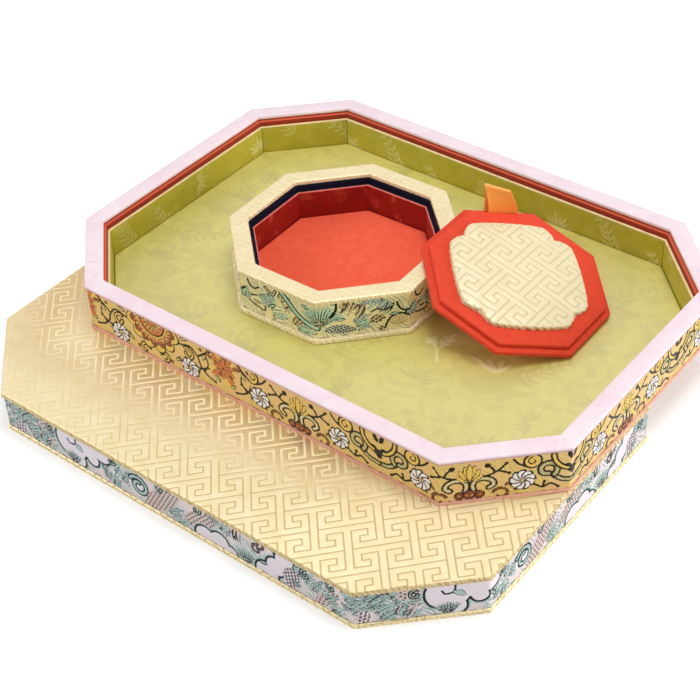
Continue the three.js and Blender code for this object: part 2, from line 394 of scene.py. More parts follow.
# painted light: base_satin is a paler copy of box_satin, lightened for the shade the box's base stands in
baseCloth = fretSatin("base_satin", "#FFF2CC", "#E8D49C", "#FCEABC", 0.2, 0.0, 0.28, "#FFF4C0", 1.0)
padCloth = fretSatin("pad_satin", "#EADCB6", "#CCBC8E", "#E3D4AA", 0.12, 0.25, 0.3)
goldBrocade = figuredBrocade("gold_brocade", "#EECF82", "#E0BB6A", goldYarns, "#F2D884", "#E8C08A", 0.2)
lilacBrocade = figuredBrocade("lilac_brocade", "#EAE1E2", "#DAD3D8", lilacYarns, "#A8C6BC", "#ECDAD6")
limeBrocade = figuredBrocade("lime_brocade", "#FFFAD0", "#F6EEBA", limeYarns, "#CEDABE", "#FAE8B2")
# painted light and shade: the pink's mauve is painted shade on the rim's outer edge; on the olive floor the figure is
# painted darker than the ground, standing in for the ground's sheen, and the pale tone marks two sprigs painted light
# in the lid's shade
pinkDamask = damask("pink_damask", "#F8E9ED", "#EED4DE", "#F3E0E6", 1.5, 0.1, 0.55, ("turned", "#BE8C9C"))
oliveDamask = damask("olive_damask", "#D3C759", "#AEA348", "#CABD4C", 2.7, 0.1, 0.3, ("lit", "#F6F0B0"))
# painted shade: the olive lining is the floor's damask in a darker, deeper colour for the shaded walls, and the scarlet
# lining's red is darkened for the shade inside the box
oliveLining = damask("olive_lining_damask", "#BAAD2C", "#CEC476", "#AEA124", 1.5, 0.0, 0.1)
scarletSatin = damask("scarlet_damask", "#9C150A", "#BC4A36", "#861006", 1.45)
salmonCloth = plainWeave("salmon_cloth", "#F4BDA8", "#E3A08C")
redCloth = plainWeave("red_cloth", "#9A2C0C", "#86240A", sheen=0.05, lip="#D05838")
creamCloth = plainWeave("cream_cloth", "#FBE6B2", "#E8CB8C")
navyCloth = plainWeave("navy_cloth", "#12122A", "#0A0A1A", sheen=0.0, gloss=0.15)
coralCloth = plainWeave("coral_cloth", "#F28A78", "#D7665A")
scarletCloth = plainWeave("scarlet_cloth", "#FF6846", "#F85A38")
lidCloth = plainWeave("lid_red_cloth", "#E64828", "#DC3E22", sheen=0.05)
ribbonSatin = satinRibbon("orange_ribbon", "#FFAC50", "#FFA046")
wallBoard = greyBoard("grey_board")

for nodeName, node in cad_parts.items():
    if "_wall_" in nodeName:
        node.data.materials.clear()
        node.data.materials.append(wallBoard)
print("materials ready")


# key-fret cloth
fretLines = {
    "hook": [(0, 0), (0, 3), (2, 3), (2, 2), (1, 2), (1, 1), (3, 1), (3, 4)],  # one key, in steps
    "barLength": 7,
    "rowHeight": 4,
    "repeat": 8,
    "lineHalf": 0.6,  # of each woven line, in millimetres
    "depth": 0.06,
}


def fretEdges():
    n, rise = fretLines["repeat"], fretLines["rowHeight"]
    across, down = np.zeros((n, n), bool), np.zeros((n, n), bool)
    for start in (0, rise):
        runs = [[(0, 0), (fretLines["barLength"], 0)], fretLines["hook"],
                [(rise + x, rise - y) for x, y in fretLines["hook"]]]
        for run in runs:
            for (xa, ya), (xb, yb) in zip(run, run[1:]):
                for x in range(min(xa, xb), max(xa, xb)):
                    across[(start + ya) % n, (start + x) % n] = True
                for y in range(min(ya, yb), max(ya, yb)):
                    down[(start + y) % n, (start + xa) % n] = True
    return across, down


def fretSheet(cloth, fine=False):
    # a flat sheet whose mesh lines are the pressed lines of the cloth
    reach, stepA, stepB, start = [np.array(cloth[key], float) for key in ("reach", "stepA", "stepB", "start")]
    side = fretLines["lineHalf"] / np.linalg.norm(stepA)
    cuts = np.array([0, side, 0.38, 0.62, 1 - side] if fine else [0, side, 1 - side])
    corners = np.array([(-1, -1), (-1, 1), (1, -1), (1, 1)]) * reach
    lattice = np.linalg.solve(np.array([stepA, stepB]).T, (corners - start).T).T
    low = np.floor(lattice.min(0)).astype(int) - 1
    count = (np.ceil(lattice.max(0)).astype(int) + 1 - low) * len(cuts)
    piece = flatGrid(*count)
    points = meshPoints(piece)
    index = np.rint((points[:, :2] + 1) / 2 * count).astype(int)
    cell, part = index // len(cuts) + low, index % len(cuts)
    at = cell + cuts[part]
    points[:, :2] = start + at[:, :1] * stepA + at[:, 1:] * stepB
    movePoints(piece, points)
    across, down = fretEdges()
    n = fretLines["repeat"]
    x, y = cell[:, 0], cell[:, 1]
    right, left = across[y % n, x % n], across[y % n, (x - 1) % n]
    under, over = down[y % n, x % n], down[(y - 1) % n, x % n]
    onA, onB = part[:, 1] == 0, part[:, 0] == 0
    groove = np.where(onA & onB, right | left | under | over, (onA & right) | (onB & under))
    keepValues(piece, "groove", groove.astype(float))
    return piece


def insideOutline(points, corners):
    inside = np.zeros(len(points), bool)
    x, y = points[:, 0], points[:, 1]
    for (xa, ya), (xb, yb) in zip(corners, np.roll(corners, -1, 0)):
        if ya != yb:
            inside ^= ((ya > y) != (yb > y)) & (x < (xb - xa) * (y - ya) / (yb - ya) + xa)
    return inside


def nearestOnOutline(points, corners):
    best, nearest = np.full(len(points), 1e9), np.zeros((len(points), 2))
    for a, b in zip(corners, np.roll(corners, -1, 0)):
        run = b - a
        t = np.clip((points - a) @ run / (run @ run), 0, 1)
        q = a + t[:, None] * run
        gap = np.linalg.norm(points - q, axis=1)
        closer = gap < best
        best[closer], nearest[closer] = gap[closer], q[closer]
    return best, nearest


def cutAlong(corners, offsets):
    # cuts the flat sheet parallel to each side, so that the folds are clean
    middle = corners.mean(0)
    toMode("EDIT")
    for a, b in zip(corners, np.roll(corners, -1, 0)):
        out = np.array([(b - a)[1], -(b - a)[0]]) / np.linalg.norm(b - a)
        out *= np.sign(out @ (a - middle))
        for offset in offsets:
            bpy.ops.mesh.select_all(action="SELECT")
            bpy.ops.mesh.bisect(plane_co=(*(a + out * offset), 0), plane_no=(*out, 0))
    toMode("OBJECT")


def dropPast(piece, corners, isHole, run):
    # drops the cloth that lies further than run past the edge
    flat = meshPoints(piece)[:, :2]
    gap, _ = nearestOnOutline(flat, corners)
    gone = (insideOutline(flat, corners) == isHole) & (gap > run)
    selectFaces(piece, lambda face: all(gone[i] for i in face.vertices))
    bpy.ops.mesh.delete(type="FACE")
    toMode("OBJECT")


def foldOver(piece, edges, radius, top, depth):
    # lays the flat sheet on the board and turns it down over each edge
    flat = meshPoints(piece)[:, :2]
    xy, normal = flat.copy(), np.zeros((len(flat), 2))
    z, normalZ = np.array(np.broadcast_to(top, len(flat)), float), np.ones(len(flat))
    for corners, isHole in edges:
        past = insideOutline(flat, corners) == isHole
        gap, nearest = nearestOnOutline(flat[past], corners)
        way = (flat[past] - nearest) / np.maximum(gap, 1e-9)[:, None]
        turn = np.minimum(gap / radius, pi / 2)
        xy[past] = nearest + way * (radius * np.sin(turn))[:, None]
        z[past] -= radius * (1 - np.cos(turn)) + np.maximum(gap - radius * pi / 2, 0)
        normal[past], normalZ[past] = way * np.sin(turn)[:, None], np.cos(turn)
    keepValues(piece, "turned", np.clip((1 - normalZ) * 2, 0, 1))
    lift = -depth * keptValues(piece, "groove") if "groove" in piece.data.attributes else np.zeros(len(flat))
    movePoints(piece, np.column_stack([xy + normal * lift[:, None], z + normalZ * lift]))


def closeUnderside(piece, foot):
    points = meshPoints(piece)
    points[:, 2] = np.maximum(points[:, 2], foot)
    movePoints(piece, points)
    toMode("EDIT")
    bpy.ops.mesh.select_mode(type="EDGE")
    bpy.ops.mesh.select_all(action="DESELECT")
    bpy.ops.mesh.select_non_manifold(extend=False, use_wire=False, use_multi_face=False,
                                     use_non_contiguous=False, use_verts=False)
    bpy.ops.mesh.fill(use_beauty=False)
    evenOut()


def wrapBoard(piece, outline, board, depth=0.0):
    # outline(inset) gives the board's corners; a ring width leaves a hole in the middle
    radius, thickness, top = board["fold"], board["thickness"], board["top"]
    run = radius * pi / 2 + thickness - radius  # cloth past the flat top
    offsets = [0, radius * pi / 6, radius * pi / 3, radius * pi / 2, run]
    edges = [(outline(radius), False)]
    if "ringWidth" in board:
        edges.append((outline(board["ringWidth"] - radius), True))
    for corners, isHole in edges:
        cutAlong(corners, [-o for o in offsets] if isHole else offsets)
        dropPast(piece, corners, isHole, run - 1e-3)
    foldOver(piece, edges, radius, top, depth)
    closeUnderside(piece, top - thickness)
    return piece


# rings that follow an outline
def roundedSection(strip, steps=3):
    # the section of a strip with rounded upper edges, outer foot first
    outer, inner, bottom, top, radius = [strip[key] for key in ("outer", "inner", "bottom", "top", "edgeRound")]
    arc = [pi / 2 * i / steps for i in range(steps + 1)]
    section = [(outer, bottom)]
    section += [(outer + radius - radius * cos(a), top - radius + radius * sin(a)) for a in arc]
    section += [(inner - radius + radius * sin(a), top - radius + radius * cos(a)) for a in arc]
    return section + [(inner, bottom)]


def perimeterStations(outline, count=0):
    # where each step round the outline lies: which side and how far along it; starts at the left end of the front
    corners = np.roll(outline(0), 1, 0)
    lengths = np.linalg.norm(np.roll(corners, -1, 0) - corners, axis=1)
    ends = np.cumsum(lengths)
    if not count:
        return np.arange(8), np.zeros(8), np.concatenate([[0], ends[:-1]]), lengths.sum()
    u = np.arange(count) * lengths.sum() / count
    side = np.searchsorted(ends, u, side="right")
    share = (u - (ends - lengths)[side]) / lengths[side]
    return side, share, u, lengths.sum()


def ringPoints(outline, side, share, inset):
    # points at any inset from the outline, for stations and insets of one shape
    at0 = np.roll(outline(0), 1, 0)
    slope = np.roll(outline(1), 1, 0) - at0
    after = (side + 1) % 8
    a = at0[side] + slope[side] * inset[..., None]
    b = at0[after] + slope[after] * inset[..., None]
    return a + (b - a) * share[..., None]


def ringGrid(stations, around):
    # a flat grid to roll up, with each point's step along and across it
    piece = flatGrid(stations, around)
    step = np.rint((meshPoints(piece)[:, :2] + 1) / 2 * (stations, around)).astype(int)
    return piece, step[:, 0] % stations, step[:, 1] % around


def sweptRing(outline, section, stations=0):
    side, share, u, _ = perimeterStations(outline, stations)
    section = np.array(section)
    piece, along, across = ringGrid(len(side), len(section))
    xy = ringPoints(outline, side[along], share[along], section[across, 0])
    movePoints(piece, np.column_stack([xy, section[across, 1]]))
    keepValues(piece, "along", np.column_stack([u[along], section[across, 1], 0 * u[along]]) * mm)
    evenOut(1e-4)
    return piece


# flat boards
def cornerBoard(corners, bottom, top, edgeRound=0):
    deselectAll()
    bpy.ops.mesh.primitive_circle_add(vertices=len(corners), fill_type="NGON")
    piece = bpy.context.object
    movePoints(piece, np.column_stack([corners, np.full(len(corners), bottom)]))
    toMode("EDIT")
    bpy.ops.mesh.select_all(action="SELECT")
    bpy.ops.mesh.extrude_region_move(TRANSFORM_OT_translate={"value": (0, 0, top - bottom)})
    evenOut()
    if edgeRound:
        applyModifier(piece, "BEVEL", width=edgeRound, segments=3, limit_method="ANGLE", angle_limit=radians(25),
                      use_clamp_overlap=True)
    return piece


# figures drawn on a band: signed distances in millimetres on one repeat of the cloth
def newRepeat(length, band):
    u, v = np.meshgrid(np.arange(band["columns"]) * length / band["columns"],
                       band["foot"] + np.linspace(0, band["height"], band["rows"]), indexing="ij")
    return {"u": u, "v": v, "length": length, "yarns": [np.full(u.shape, 9.0) for _ in range(6)]}


def mirrored(repeat, axis, side):
    # the same cloth, counted from the axis to one side
    return dict(repeat, u=side * (repeat["u"] - axis))


def offsetFrom(repeat, u, v):
    half = repeat["length"] / 2
    return (repeat["u"] - u + half) % repeat["length"] - half, repeat["v"] - v


def onRing(u, v, radius, angle):
    return u + radius * cos(radians(angle)), v + radius * sin(radians(angle))


def disc(repeat, u, v, radius):
    return np.hypot(*offsetFrom(repeat, u, v)) - radius


def leaf(repeat, u, v, angle, length, width, bend=0.0):
    du, dv = offsetFrom(repeat, u, v)
    a = radians(angle)
    x, y = du * cos(a) + dv * sin(a), dv * cos(a) - du * sin(a)
    t = np.clip(x / length, 0, 1)
    half = width / 2 * np.sin(pi * t) ** 0.7
    across = np.abs(y - bend * np.sin(pi * t)) - half
    return np.where((x > 0) & (x < length), across, np.hypot(x - t * length, y))


def stroke(repeat, points, half):
    u0, v0 = points[0]
    du, dv = offsetFrom(repeat, u0, v0)
    best = np.full(du.shape, 99.0)
    for (ua, va), (ub, vb) in zip(points, points[1:]):
        ru, rv = ub - ua, vb - va
        t = np.clip(((du - ua + u0) * ru + (dv - va + v0) * rv) / (ru * ru + rv * rv), 0, 1)
        best = np.minimum(best, np.hypot(du - ua + u0 - t * ru, dv - va + v0 - t * rv))
    return best - half


def smoothRun(points, steps=5):
    # a soft curve through the points
    ends = [points[0], *points, points[-1]]
    out = []
    for p0, p1, p2, p3 in zip(ends, ends[1:], ends[2:], ends[3:]):
        for t in np.arange(steps) / steps:
            out.append(tuple(0.5 * (2 * b + (c - a) * t + (2 * a - 5 * b + 4 * c - d) * t * t
                                    + (3 * b - a - 3 * c + d) * t ** 3) for a, b, c, d in zip(p0, p1, p2, p3)))
    return out + [points[-1]]


def scalloped(repeat, u, v, radius, lobes, depth, turn=0.0):
    du, dv = offsetFrom(repeat, u, v)
    wave = np.abs(np.sin(lobes / 2 * np.arctan2(dv, du) + turn))
    return np.hypot(du, dv) - radius + depth * (1 - wave)


# yarns: each figure covers what lies under it, and the dark yarn can run round its edge
def weaveIn(repeat, shape, yarn, edge=0.0):
    for other in repeat["yarns"]:
        np.maximum(other, -shape, out=other)
    np.minimum(repeat["yarns"][yarn], shape, out=repeat["yarns"][yarn])
    if edge:
        np.minimum(repeat["yarns"][0], np.abs(shape) - edge, out=repeat["yarns"][0])


def dot(repeat, u, v, radius, yarn, edge=0.0):
    weaveIn(repeat, disc(repeat, u, v, radius), yarn, edge)


def blade(repeat, u, v, angle, length, width, bend, yarn, edge=0.0):
    weaveIn(repeat, leaf(repeat, u, v, angle, length, width, bend), yarn, edge)


def spiral(repeat, u, v, radius, start, sweep, shrink, half, yarn, edge=0.0, steps=14):
    # tightens as it turns
    run = [onRing(u, v, radius * (1 - shrink * t), start + sweep * t) for t in np.arange(steps + 1) / steps]
    weaveIn(repeat, stroke(repeat, run, half), yarn, edge)


def scroll(repeat, points, half, yarn=0, edge=0.0, knob=0.0):
    weaveIn(repeat, stroke(repeat, smoothRun(points), half), yarn, edge)
    if knob:
        dot(repeat, *points[-1], knob, yarn, edge)


def pinwheel(repeat, u, v, radius, petals=9):
    du, dv = offsetFrom(repeat, u, v)
    r = np.hypot(du, dv)
    share = ((np.arctan2(dv, du) + 0.9 * r / radius) * petals / (2 * pi)) % 1
    shape = r - radius * (0.82 + 0.18 * np.sin(pi * share) ** 0.6)
    weaveIn(repeat, shape, 2, 0.36)
    between = np.maximum(r * 2 * pi / petals * np.minimum(share, 1 - share) - 0.33, shape)
    np.minimum(repeat["yarns"][0], np.maximum(between, 1.3 - r), out=repeat["yarns"][0])
    weaveIn(repeat, r - 1.0, 1, 0.2)


def medallion(repeat, u, v):
    # half a round bloom that hangs from the upper edge
    weaveIn(repeat, scalloped(repeat, u, v, 16.8, 12, 2.4), 1, 0.38)
    weaveIn(repeat, scalloped(repeat, u, v, 14.2, 14, 2.0), 3, 0.2)
    for i in range(15):
        a = 180 + 180 * (i + 0.5) / 15
        spiral(repeat, *onRing(u, v, 10.9, a), 1.7, a + 90, 250, 0.75, 0.34, 4 if i % 2 else 1)
    dot(repeat, u, v, 8.9, 1)
    dot(repeat, u, v, 7.6, 4, 0.42)
    for i in range(9):
        a = 180 + 180 * i / 8
        blade(repeat, *onRing(u, v, 1.4, a), a, 5.2, 1.9, 0.5, 3)
        blade(repeat, *onRing(u, v, 2.4, a + 11), a + 11, 3.6, 0.8, 0, 1)


def mapleBlossom(repeat, u, v, size):
    for ring, (yarn, share) in enumerate(((1, 1.0), (4, 0.92), (3, 0.66), (4, 0.5))):
        for i in range(9):
            reach = size * share * (1 if i % 2 else 0.72)
            blade(repeat, u, v, 40 * i + 17 * ring, reach, reach * 0.4, reach * 0.1, yarn, 0.12 if yarn == 4 else 0)


def cloudBank(repeat, lobes, ring=1.2):
    shape = np.min([disc(repeat, *lobe) for lobe in lobes], axis=0)
    weaveIn(repeat, shape - ring, 1)
    weaveIn(repeat, shape, 2, 0.5)


def shellFan(repeat, u, v, start, sweep, reach, blades, yarn, width):
    for a in start + sweep * np.arange(blades) / (blades - 1):
        blade(repeat, *onRing(u, v, 0.8, a), a, reach, width, 0, yarn)


def scalePatch(repeat, u, v, angle, length, width, pitch=2.0, ground=4, scales=3, size=0.78):
    # a leaf-shaped patch filled with rows of small scales
    shape = leaf(repeat, u, v, angle, length, width, 0.6)
    weaveIn(repeat, shape, ground)
    du, dv = offsetFrom(repeat, u, v)
    a = radians(angle + 20)
    x, y = (du * cos(a) + dv * sin(a)) / pitch, (dv * cos(a) - du * sin(a)) / pitch * 1.1
    row = np.floor(y)
    dots = np.hypot((x + 0.5 * (row % 2)) % 1 - 0.5, y - row - 0.5) * pitch - size
    dots = np.maximum(dots, shape + 0.2)
    np.minimum(repeat["yarns"][scales], dots, out=repeat["yarns"][scales])
    np.maximum(repeat["yarns"][ground], -dots, out=repeat["yarns"][ground])


def plumage(repeat, u, v, angle, reach, count, step, yarn, width=1.7, other=None):
    # a row of long strokes lying side by side, in two colours with a dark one now and then
    other = other or (5 if yarn == 1 else 1)
    for i in range(count):
        at = onRing(u, v, (i - count / 2) * step, angle + 90)
        long, tilt = reach * (0.75 + 0.25 * sin(2.4 * i)), angle + 6 * sin(1.7 * i)
        blade(repeat, *at, tilt, long, width, 0.6, yarn if i % 2 else other, 0.08)
        if i % 3 == 2:
            blade(repeat, *at, tilt + 8, long * 0.8, 0.7, 0.6, 0)


def drawAll(repeat, figures):
    for figure, *numbers in figures:
        figure(repeat, *numbers)


goldBand = {"lengths": 10, "columns": 186, "rows": 46, "height": 21.4, "foot": -1.2, "bottom": 1.2,
            "stem": 0.5, "joints": [(0, 0), (100, 1), (786, 0)]}


def vine(repeat, points, knob=0.8):
    # a dark stem with a round bud at its end
    scroll(repeat, points, goldBand["stem"], 0, 0, knob)


def drawBloomCloth(length):
    # blooms that hang between pinwheels; the two halves of the repeat mirror each other
    repeat = newRepeat(length, goldBand)
    axis = 41.3
    for side in (-1, 1):
        half = mirrored(repeat, axis, side)
        drawAll(half, [
            (vine, [(14, 14.5), (18, 15), (23.5, 16.2), (27.5, 12), (28.8, 7.6), (32.5, 3.9), (37, 2.2)]),
            (vine, [(24.4, 6.6), (28.6, 6.0), (33.6, 8.8)]),
            (vine, [(27.4, 12.6), (31, 15.6), (35, 19)]),
            (scroll, [(30.5, 5), (33.5, 10), (33, 14)], 0.4),
            (spiral, 21.6, 11.2, 3.4, 120, -300, 0.55, 0.85, 1, 0.36),
            (spiral, 6.4, 1.6, 3.0, 160, -250, 0.5, 0.8, 1, 0.34),
            (spiral, 36, 17.6, 2.4, 90, 280, 0.5, 0.6, 4, 0.3),
        ])
        for d, v, angle, reach in ((17, 17.6, 20, 5), (26.5, 2.0, 70, 4.4), (30.6, 12, 60, 4.6), (13, 3.4, 30, 4.6),
                                   (37, 6, -30, 4)):
            blade(half, d, v, angle, reach, 1.9, side * 0.4, 5, 0.24)
        for d, v in ((10.5, 1.2), (16, 6), (29.5, 17.5), (38.5, 9)):
            dot(half, d, v, 0.9, 3, 0.16)
    medallion(repeat, axis, 19.6)
    mapleBlossom(repeat, axis + length / 2, 13.2, 10.5)
    for side in (-1, 1):
        pinwheel(repeat, axis + side * 22, 3.4, 5.4)
    return repeat


def drawLotusCloth(length):
    # lotus and lobed cartouche by turns, each half the mirror of the other
    repeat = newRepeat(length, goldBand)
    axis, last = 40.4, length / 2
    arch = [(1.9, 2.5), (1.3, 6.8), (2.9, 9.2), (6.3, 9.9), (9.2, 8.5), (10.1, 6.1), (8.2, 4.5)]
    for side in (-1, 1):
        drawAll(mirrored(repeat, axis, side), [
            (vine, [(1.6, 10.6), (8, 11.4), (12, 13.6), (15.2, 17)]),
            (vine, [(11.8, 13.5), (16.4, 11.4)], 0.85),
            (vine, [(10.4, 12.8), (9.4, 15), (7.4, 16.8)], 1.3),
            (vine, [(18, 18.5), (20.5, 15.6), (25, 13)], 0),
            (vine, [(27, 3.2), (30.6, 1.2), (33.8, 2.8), (37, 0.6)]),
            (vine, [(30.6, 1.2), (31.2, 4.4)], 0.7),
            (scroll, arch, 1.15, 5, 0.4),
            (scroll, arch, 0.3, 2),
            (spiral, 13.2, 0.2, 3.6, 160, -300, 0.5, 0.6, 3, 0.2),
            (spiral, 13.2, 0.2, 1.6, 90, -200, 0.5, 0.4, 1),
            (blade, 14.6, 4.6, 35, 3, 1.5, 0, 3, 0.16),
            (blade, 18.6, 0.8, 60, 3, 1.5, 0, 3, 0.16),
            (dot, 26, 16.6, 3.7, 1, 0.42),
            (spiral, 26, 16.6, 2.3, 90, 320, 0.7, 0.3, 0),
            (scroll, [(34.6, 7.6), (38.4, 4.7), (last, 3.9)], 1.05, 5, 0.4),
            (spiral, 32.4, 11, 4.3, -50, 330, 0.45, 1.2, 5, 0.42),
            (spiral, last - 2.5, 11.4, 1.7, 180, -250, 0.5, 0.42, 0),
            (dot, 4.2, 1.2, 2.0, 3, 0.3),
        ])
    for angle, reach in ((28, 6.5), (152, 6.5), (55, 8), (125, 8), (76, 9), (104, 9), (90, 9.6)):
        blade(repeat, axis, 9, angle, reach, 2.7, 0, 1, 0.18)
    dot(repeat, axis, 1.5, 2.5, 3, 0.3)
    for d in (-4.4, -1.2, 1.2, 4.4):
        dot(repeat, axis + d, 1.2, 0.4, 4)
    heart = axis + last
    spiral(repeat, heart, 18.8, 8.6, 180, 180, 0.0, 1.05, 1, 0.42)
    for side in (-1, 1):
        blade(repeat, heart + side * 0.5, 15.4, 90 - side * 26, 5, 2.3, 0, 0)
    weaveIn(repeat, scalloped(repeat, heart, 9.2, 2.5, 3, 0.9, 0.5), 0)
    for side in (-1, 1):
        pinwheel(repeat, axis + side * 22, 6.6, 5.5)
    return repeat


lilacBand = {"lengths": 4, "columns": 512, "rows": 44, "height": 17.1, "foot": 0, "bottom": 2,
             "joints": [(0, 0), (202, 0, 6), (256, 0, 60)]}


def drawCloudCloth(length):
    # clouds, shells and scaly patches in sea colours on a silver-lilac ground
    repeat = newRepeat(length, lilacBand)
    for u in (-18, -8, 2, 12, 20):
        plumage(repeat, u, 9 + 3 * sin(u), 28, 14, 16, 1.2, 5, 1.5, 1)
    drawAll(repeat, [
        (scalePatch, 6, -2, 60, 10, 8, 2.0, 2),
        (scalePatch, 22, 13, 10, 11, 7),
        (plumage, 25, 1, 60, 10, 6, 1.6, 4, 1.4),
        (cloudBank, [(43, 12, 9.6), (52, 17, 9), (46, 4, 5), (62, 16.5, 6.5), (56, 9, 4)]),
        (scroll, [(46, 17), (45.4, 12.5), (42, 11.5), (40.6, 13.5)], 0.42),
        (blade, 45, 12.8, -30, 6, 3, 0.3, 1, 0.2),
        (shellFan, 43, -1.5, 52, 80, 8, 8, 5, 1.0),
        (shellFan, 43, -1.5, 57, 70, 7.6, 7, 0, 0.45),
        (plumage, 66, 1, 72, 9, 7, 1.5, 1, 1.5),
        (plumage, 72, 7, 55, 10, 7, 1.6, 5, 1.6),
        (dot, 84, 8.8, 6, 2),
        (spiral, 84, 8.8, 5.6, 150, -430, 0.6, 1.1, 1, 0.4),
        (scalePatch, 86, -2, 40, 31, 11),
        (scalePatch, 110, 4, 28, 22, 10),
        (plumage, 103, 0, 35, 12, 7, 1.7, 1),
        (plumage, 128, 12, 60, 9, 9, 1.6, 1, 1.5),
        (cloudBank, [(122, 1, 6.2), (130, 3, 5.4), (136, 0, 4)]),
        (plumage, 139, 9, 88, 9, 5, 1.4, 0, 0.9, 5),
        (shellFan, 145, -1, 36, 108, 8.6, 10, 1, 1.3),
        (shellFan, 145, -1, 42, 96, 8, 9, 0, 0.45),
        (spiral, 151, 11.5, 2.8, 90, 330, 0.75, 0.55, 3, 0.2),
        (spiral, 152.5, 14.5, 2.8, 90, -330, 0.75, 0.55, 3, 0.2),
        (cloudBank, [(156, 1, 6.4), (161, 7.5, 5.2), (165.5, 13.5, 4.8), (171, 18, 5.4)]),
        (scalePatch, 168, -1, 76, 15, 9, 1.9, 2),
        (plumage, 176, 8, 60, 12, 12, 1.35, 5),
        (plumage, 205, 7, 40, 13, 12, 1.35, 5),
        (plumage, 197, 10, 30, 12, 9, 1.4, 1, 1.8),
        (scalePatch, 181, -2, 48, 20, 7),
        (plumage, 188, 3, 30, 10, 8, 1.8, 1, 1.8),
    ])
    for u, v, turn in ((30, 13, 1), (68, 14.5, -1), (97, 14.5, 1), (118, 14.5, -1), (177, 13, 1), (190, 14, 1)):
        spiral(repeat, u, v, 2.8, 90, 300 * turn, 0.75, 0.6, 1, 0.32)
    for u, v in ((28, 5), (64, 5), (100, 16), (152, 5), (160, 15), (174, 4), (195, 9)):
        blade(repeat, u, v, 30 + 7 * u, 4.6, 1.9, 0.3, 5, 0.24)
    return repeat


limeBand = {"lengths": 4, "columns": 320, "rows": 64, "height": 19.7, "foot": 0, "bottom": 2.2, "joints": [(0, 0)]}


def drawWaveCloth(length):
    # a wide shell between waves, with feathers above and scaly patches below, on a yellow-green ground
    repeat = newRepeat(length, limeBand)
    drawAll(repeat, [
        (plumage, 14.5, 14, -62, 8.6, 8, 1.2, 5, 1.7, 1),
        (scroll, [(4.4, 19.2), (5.4, 15.8), (8, 14.2), (10.8, 15.8)], 0.45),
        (scroll, [(9.4, 10.6), (5.4, 9.2), (4.8, 6.4), (8.8, 4.4), (13.6, 3.4), (14, 6)], 0.4),
        (scroll, [(8, 7.6), (11.6, 6.6)], 0.35),
        (plumage, 1, 7, 70, 8, 6, 1.2, 1, 1.7, 5),
        (plumage, 24.5, 11.5, 40, 8, 9, 1.1, 4, 0.9, 2),
        (plumage, 18, 4, 15, 10, 7, 1.2, 1, 1.8, 2),
        (scroll, [(15, 17.5), (19, 15), (21, 17.8)], 0.6, 2, 0.3),
        (scalePatch, 30, 2.6, 34, 9, 6, 2.0, 4, 3, 0.95),
        (scroll, [(24.6, 18.6), (28.6, 14.8), (33, 10.2), (38.2, 7.3), (44.6, 6)], 1.3, 1, 0.36),
        (shellFan, 45.4, 5.6, 28, 116, 13, 13, 1, 1.3),
        (shellFan, 45.4, 5.6, 33, 106, 12, 12, 0, 0.42),
        (scroll, [(53.6, 19.4), (53.3, 15), (50.8, 11.2)], 0.55),
        (plumage, 33, 1.6, 8, 12, 5, 1.1, 1, 1.7, 5),
        (scalePatch, 47, 4.2, -6, 16, 5.6, 1.5, 5, 0, 0.52),
        (plumage, 62, 5.4, 18, 9, 7, 1.15, 1, 1.7, 5),
        (plumage, 62.4, 18.6, 245, 8.6, 12, 1.0, 3, 1.0, 4),
        (plumage, 74.4, 19.4, 238, 8.4, 15, 1.05, 5, 1.7, 1),
        (scroll, [(69.6, 11.8), (72.6, 13.2), (75.6, 12), (79.4, 13.6)], 0.4),
        (scalePatch, 68, 6, 14, 9, 5, 2.0, 2, 3, 0.95),
        (scalePatch, 71.5, 1.4, 0, 6, 3, 2.0, 2, 3, 0.95),
        (shellFan, 82, 1.6, 34, 112, 7, 9, 4, 1.3),
        (shellFan, 82, 1.6, 40, 100, 6.6, 8, 3, 0.5),
        (scroll, [(76, 2.4), (78.4, 7.2), (83, 9.2), (87.4, 7.4)], 0.5),
        (scroll, [(81.6, 15.6), (83.2, 11.8), (86.8, 10.6), (90, 12.8)], 0.5),
    ])
    for u, v in ((57.5, 9.5), (36, 16.5), (78, 9), (20.6, 9.6)):
        blade(repeat, u, v, 20 + 9 * u, 4.4, 1.6, 0.3, 1, 0.22)
    return repeat


brocade = {"inset": 0.9, "thickness": 0.5, "relief": 0.12}  # the boards stand proud of it by the inset


